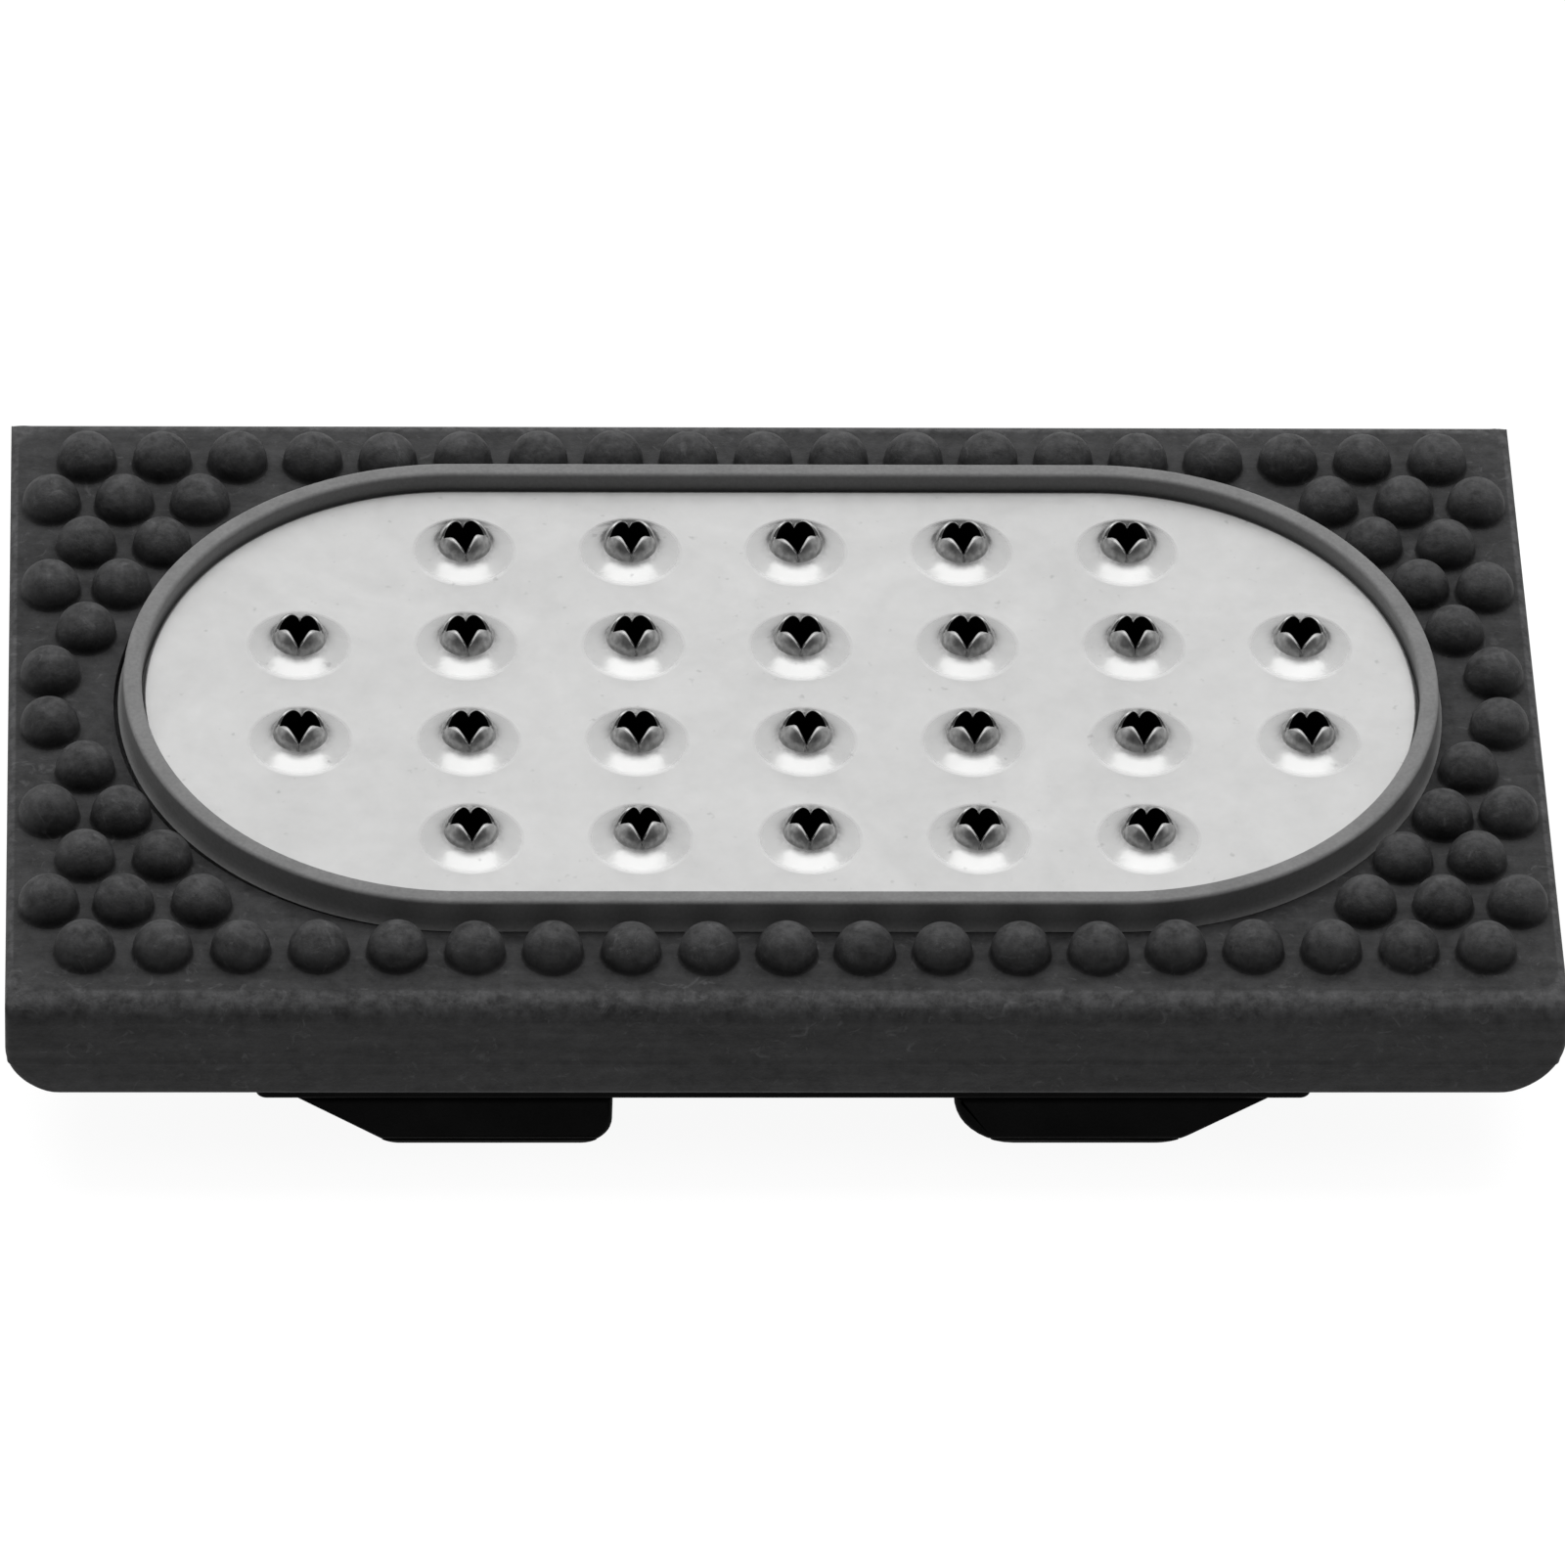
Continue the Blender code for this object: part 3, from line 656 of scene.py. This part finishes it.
class Finish:
    """A Principled material with procedural nodes on its inputs."""

    def __init__(self, name, **settings):
        self.material = bpy.data.materials.new(name)
        self.material.use_nodes = True
        self.tree = self.material.node_tree
        self.shader = self.tree.nodes["Principled BSDF"]
        for socket, value in settings.items():
            self.shader.inputs[socket.replace("_", " ")].default_value = value
        self.place = self.tree.nodes.new("ShaderNodeTexCoord").outputs["Object"]

    def link(self, source, target):
        self.tree.links.new(source, target)

    def stretched(self, scale):
        mapping = self.tree.nodes.new("ShaderNodeMapping")
        mapping.inputs["Scale"].default_value = scale
        self.link(self.place, mapping.inputs["Vector"])
        return mapping.outputs["Vector"]

    def noise(self, size, detail=3.0, roughness=0.5, stretch=(1, 1, 1), warp=0.0):
        """Noise whose blotches are about the given size in metres, from 0 to 1."""
        node = self.tree.nodes.new("ShaderNodeTexNoise")
        node.inputs["Scale"].default_value = 1 / size
        node.inputs["Detail"].default_value = detail
        node.inputs["Roughness"].default_value = roughness
        node.inputs["Distortion"].default_value = warp
        self.link(self.stretched(stretch), node.inputs["Vector"])
        return node.outputs["Fac"]

    def between(self, source, low, high, start=0.3, end=0.7):
        """The source from start to end, made low to high."""
        node = self.tree.nodes.new("ShaderNodeMapRange")
        node.inputs["From Min"].default_value = start
        node.inputs["From Max"].default_value = end
        node.inputs["To Min"].default_value = low
        node.inputs["To Max"].default_value = high
        self.link(source, node.inputs["Value"])
        return node.outputs["Result"]

    def maths(self, operation, one, other):
        node = self.tree.nodes.new("ShaderNodeMath")
        node.operation = operation
        for socket, value in zip(node.inputs, (one, other)):
            if isinstance(value, (int, float)):
                socket.default_value = value
            else:
                self.link(value, socket)
        return node.outputs["Value"]

    def layer(self, name):
        """The amount of one of the mesh's layers."""
        node = self.tree.nodes.new("ShaderNodeAttribute")
        node.attribute_name = name
        return node.outputs["Fac"]

    def grey(self, level, tint=(1.0, 1.0, 1.0)):
        """A brightness made a colour, and put on the base colour."""
        node = self.tree.nodes.new("ShaderNodeCombineColor")
        for channel, share in zip(("Red", "Green", "Blue"), tint):
            self.link(self.maths("MULTIPLY", level, share), node.inputs[channel])
        self.link(node.outputs["Color"], self.shader.inputs["Base Color"])

    def bump(self, *layers):
        """Layers of (source, depth in metres)."""
        normal = None
        for source, depth in layers:
            node = self.tree.nodes.new("ShaderNodeBump")
            node.inputs["Distance"].default_value = depth
            self.link(source, node.inputs["Height"])
            if normal:
                self.link(normal, node.inputs["Normal"])
            normal = node.outputs["Normal"]
        self.link(normal, self.shader.inputs["Normal"])


def moulded_rubber():
    finish = Finish("moulded_black_rubber", Specular_IOR_Level=0.12)
    blotch = finish.noise(5 * MM, 4.0, 0.6, warp=0.6)
    dust = finish.noise(0.9 * MM, 5.0, 0.7)
    streak = finish.noise(1.2 * MM, 4.0, 0.6, stretch=(0.12, 1, 1.6))
    scuffs = finish.noise(1.6 * MM, 3.0, 0.7, warp=1.5)
    rubbed = finish.between(dust, 0.004, 0.040, 0.35, 0.75)
    rubbed = finish.maths("MULTIPLY", finish.layer("wear"), rubbed)
    level = finish.between(blotch, 0.019, 0.031)
    level = finish.maths("ADD", level, finish.between(dust, -0.006, 0.008))
    level = finish.maths("ADD", level, finish.between(streak, -0.004, 0.006))
    level = finish.maths("ADD", level, finish.between(scuffs, 0.0, 0.035, 0.60, 0.80))
    level = finish.maths("ADD", level, rubbed)
    # Painted shade: faces with the inside layer, in the groove and the holes, are darkened to 8 per cent
    # of their colour
    painted_shade_factor = finish.maths("SUBTRACT", 1.0, finish.maths("MULTIPLY", finish.layer("inside"), 0.92))
    finish.grey(finish.maths("MULTIPLY", level, painted_shade_factor), (1.0, 1.0, 1.02))
    finish.link(finish.between(blotch, 0.52, 0.70), finish.shader.inputs["Roughness"])
    fine = finish.noise(0.12 * MM, 3.0, 0.6)
    finish.bump((blotch, 0.16 * MM), (dust, 0.09 * MM), (fine, 0.010 * MM))
    return finish.material


def bead_rubber():
    finish = Finish("worn_bead_rubber", Specular_IOR_Level=0.2)
    blotch = finish.noise(2.5 * MM, 4.0, 0.6)
    fine = finish.noise(0.25 * MM, 3.0, 0.6)
    crest = finish.between(finish.layer("wear"), 0.0, 1.0, 0.3, 1.0)
    pale = finish.maths("MULTIPLY", crest, finish.between(blotch, -0.055, -0.025))
    level = finish.maths("ADD", pale, finish.between(fine, 0.15, 0.18))
    finish.grey(level)
    finish.link(finish.between(blotch, 0.42, 0.58), finish.shader.inputs["Roughness"])
    finish.bump((blotch, 0.05 * MM), (fine, 0.008 * MM))
    return finish.material


def tread_steel():
    finish = Finish("satin_tread_steel")
    cloud = finish.noise(9 * MM, 4.0, 0.6, warp=0.8)
    mottle = finish.noise(1.4 * MM, 5.0, 0.65)
    grain = finish.noise(0.16 * MM, 3.0, 0.6)
    specks = finish.noise(0.8 * MM, 2.0)
    worn, drawn, inside = [finish.layer(name) for name in LAYERS]
    level = finish.between(cloud, 0.47, 0.52)
    level = finish.maths("ADD", level, finish.between(mottle, -0.02, 0.02))
    level = finish.maths("ADD", level, finish.between(specks, 0.0, -0.10, 0.70, 0.78))
    level = finish.maths("ADD", level, finish.maths("MULTIPLY", drawn, 0.08))
    smudge = finish.maths("MULTIPLY", worn, finish.between(finish.noise(0.35 * MM, 3.0), 0.0, 0.42))
    level = finish.maths("MULTIPLY", level, finish.maths("SUBTRACT", 1.0, smudge))
    # Painted shade: the inner faces of the teeth and their holes, marked by the inside layer, are
    # darkened almost to black
    painted_shade_factor = finish.maths("SUBTRACT", 1.0, finish.maths("MULTIPLY", inside, 0.975))
    finish.grey(finish.maths("MULTIPLY", level, painted_shade_factor), (1.0, 1.0, 0.995))
    finish.link(finish.between(drawn, 0.50, 0.95, 0.0, 1.0), finish.shader.inputs["Metallic"])
    rough = finish.between(drawn, 0.42, 0.15, 0.0, 1.0)
    rough = finish.maths("ADD", rough, finish.between(mottle, -0.03, 0.05))
    rough = finish.maths("ADD", rough, finish.maths("MULTIPLY", worn, 0.18))
    rough = finish.maths("ADD", rough, finish.maths("MULTIPLY", inside, 0.3))
    finish.link(rough, finish.shader.inputs["Roughness"])
    finish.bump((cloud, 0.05 * MM), (mottle, 0.012 * MM), (grain, 0.0015 * MM))
    return finish.material


def black_nylon():
    finish = Finish("grained_black_nylon", Specular_IOR_Level=0.02)
    blotch = finish.noise(4 * MM, 3.0, 0.5)
    grain = finish.noise(0.2 * MM, 4.0, 0.6)
    edge = finish.maths("MULTIPLY", finish.layer("wear"), finish.between(blotch, 0.0, 0.002))
    finish.grey(finish.maths("ADD", finish.between(blotch, 0.001, 0.002), edge))
    finish.link(finish.between(grain, 0.45, 0.60), finish.shader.inputs["Roughness"])
    finish.bump((blotch, 0.03 * MM), (grain, 0.012 * MM))
    return finish.material


def adhesive_foam():
    finish = Finish("adhesive_foam", Specular_IOR_Level=0.1)
    cells = finish.tree.nodes.new("ShaderNodeTexVoronoi")
    cells.inputs["Scale"].default_value = 1 / (0.35 * MM)
    finish.link(finish.place, cells.inputs["Vector"])
    blotch = finish.noise(3 * MM, 3.0, 0.5)
    finish.grey(finish.between(blotch, 0.012, 0.020))
    finish.link(finish.between(blotch, 0.80, 0.92), finish.shader.inputs["Roughness"])
    finish.bump((cells.outputs["Distance"], 0.05 * MM))
    return finish.material


def zinc_steel():
    finish = Finish("zinc_plated_steel", Metallic=1.0)
    cloud = finish.noise(2 * MM, 4.0, 0.6)
    fine = finish.noise(0.2 * MM, 3.0, 0.6)
    finish.grey(finish.between(cloud, 0.50, 0.60), (0.98, 0.99, 1.03))
    finish.link(finish.between(cloud, 0.22, 0.36), finish.shader.inputs["Roughness"])
    finish.bump((fine, 0.006 * MM))
    return finish.material


def studio_floor_paint():
    finish = Finish("pale_floor", Roughness=0.9, Specular_IOR_Level=0.1, Emission_Strength=0.93)
    finish.shader.inputs["Emission Color"].default_value = (1.0, 1.0, 1.0, 1.0)
    finish.grey(finish.between(finish.noise(80 * MM, 2.0, 0.5), 0.11, 0.13))
    return finish.material


# ---------------------------------------------------------------- studio

CAMERA_AIM = (0.5 * MM, -3.7 * MM, 10.3 * MM)
CAMERA_DISTANCE = 951 * MM
CAMERA_AZIMUTH, CAMERA_ELEVATION = math.radians(3.38), math.radians(41.54)
CAMERA_ROLL = math.radians(2.30)
CAMERA_LENS = 334.1
FLOOR_HEIGHT = -0.02 * MM  # just clear of the adhesive

# Brightness of the sky at each Z of its direction. The jump after 0.85 is the edge of the ceiling panel
SKY_STOPS = [
    (0.0, 0.45),
    (0.25, 0.70),
    (0.45, 0.88),
    (0.66, 0.95),
    (0.85, 0.98),
    (0.875, 1.62),
    (1.0, 1.66),
]


def make_camera():
    level = math.cos(CAMERA_ELEVATION)
    ahead = Vector((
        math.sin(CAMERA_AZIMUTH) * level,
        math.cos(CAMERA_AZIMUTH) * level,
        -math.sin(CAMERA_ELEVATION),
    ))
    camera = bpy.data.objects.new("camera", bpy.data.cameras.new("camera"))
    camera.data.lens = CAMERA_LENS
    camera.data.clip_start, camera.data.clip_end = 0.05, 20.0
    camera.location = Vector(CAMERA_AIM) - ahead * CAMERA_DISTANCE
    camera.rotation_mode = "QUATERNION"
    camera.rotation_quaternion = ahead.to_track_quat("-Z", "Y") @ Quaternion((0, 0, 1), CAMERA_ROLL)
    bpy.context.scene.collection.objects.link(camera)
    bpy.context.scene.camera = camera


def make_floor():
    bm = new_bmesh()
    rings = [ring(bm, circle((0, 0), radius, FLOOR_HEIGHT, 48)) for radius in (0.3, 1.0, 3.0)]
    skin(bm, rings)
    bm.faces.new(rings[0])
    for face in bm.faces:
        if face.normal.z < 0:
            face.normal_flip()
    mesh = bpy.data.meshes.new("studio_floor")
    bm.to_mesh(mesh)
    bm.free()
    mesh.materials.append(studio_floor_paint())
    floor = bpy.data.objects.new("studio_floor", mesh)
    bpy.context.scene.collection.objects.link(floor)


def soft_light(name, place, aim, size, power):
    lamp = bpy.data.lights.new(name, "AREA")
    lamp.shape = "RECTANGLE"
    lamp.size, lamp.size_y = size
    lamp.energy = power
    light = bpy.data.objects.new(name, lamp)
    light.location = place
    light.rotation_mode = "QUATERNION"
    light.rotation_quaternion = (Vector(aim) - Vector(place)).to_track_quat("-Z", "Y")
    light.visible_glossy = False
    bpy.context.scene.collection.objects.link(light)


def make_sky():
    """A studio room: a bright ceiling panel over pale walls, and a dark side where the camera stands."""
    world = bpy.data.worlds.new("studio")
    world.use_nodes = True
    bpy.context.scene.world = world
    tree = world.node_tree
    background = tree.nodes["Background"]
    direction = tree.nodes.new("ShaderNodeTexCoord").outputs["Generated"]
    split = tree.nodes.new("ShaderNodeSeparateXYZ")
    tree.links.new(direction, split.inputs["Vector"])
    ramp = tree.nodes.new("ShaderNodeValToRGB")
    while len(ramp.color_ramp.elements) < len(SKY_STOPS):
        ramp.color_ramp.elements.new(0.5)
    for element, (height, level) in zip(ramp.color_ramp.elements, SKY_STOPS):
        element.position = height
        element.color = (level, level, level, 1.0)
    tree.links.new(split.outputs["Z"], ramp.inputs["Fac"])
    front = tree.nodes.new("ShaderNodeMapRange")
    front.inputs["From Min"].default_value = -0.50
    front.inputs["From Max"].default_value = 0.10
    front.inputs["To Min"].default_value = 0.08
    front.inputs["To Max"].default_value = 1.0
    tree.links.new(split.outputs["Y"], front.inputs["Value"])
    tree.links.new(ramp.outputs["Color"], background.inputs["Color"])
    tree.links.new(front.outputs["Result"], background.inputs["Strength"])


def make_studio():
    make_camera()
    make_floor()
    make_sky()
    soft_light("overhead_softbox", (0.0, 0.24, 0.62), (0, 0, 0), (0.80, 0.36), 5.0)
    scene = bpy.context.scene
    scene.view_settings.view_transform = "Standard"
    scene.view_settings.look = "None"


# ---------------------------------------------------------------- assembly

make_studio()
NYLON = black_nylon()
make_rubber_slab(moulded_rubber())
make_bead(bead_rubber())
make_tread_plate(tread_steel())
even_shading(make_carrier(NYLON))
make_feet(NYLON, adhesive_foam())

ZINC = zinc_steel()
for node_name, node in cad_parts.items():
    if node_name.startswith(("stud_", "sleeve_", "washer_", "nut_")):
        node.data.materials.clear()
        node.data.materials.append(ZINC)
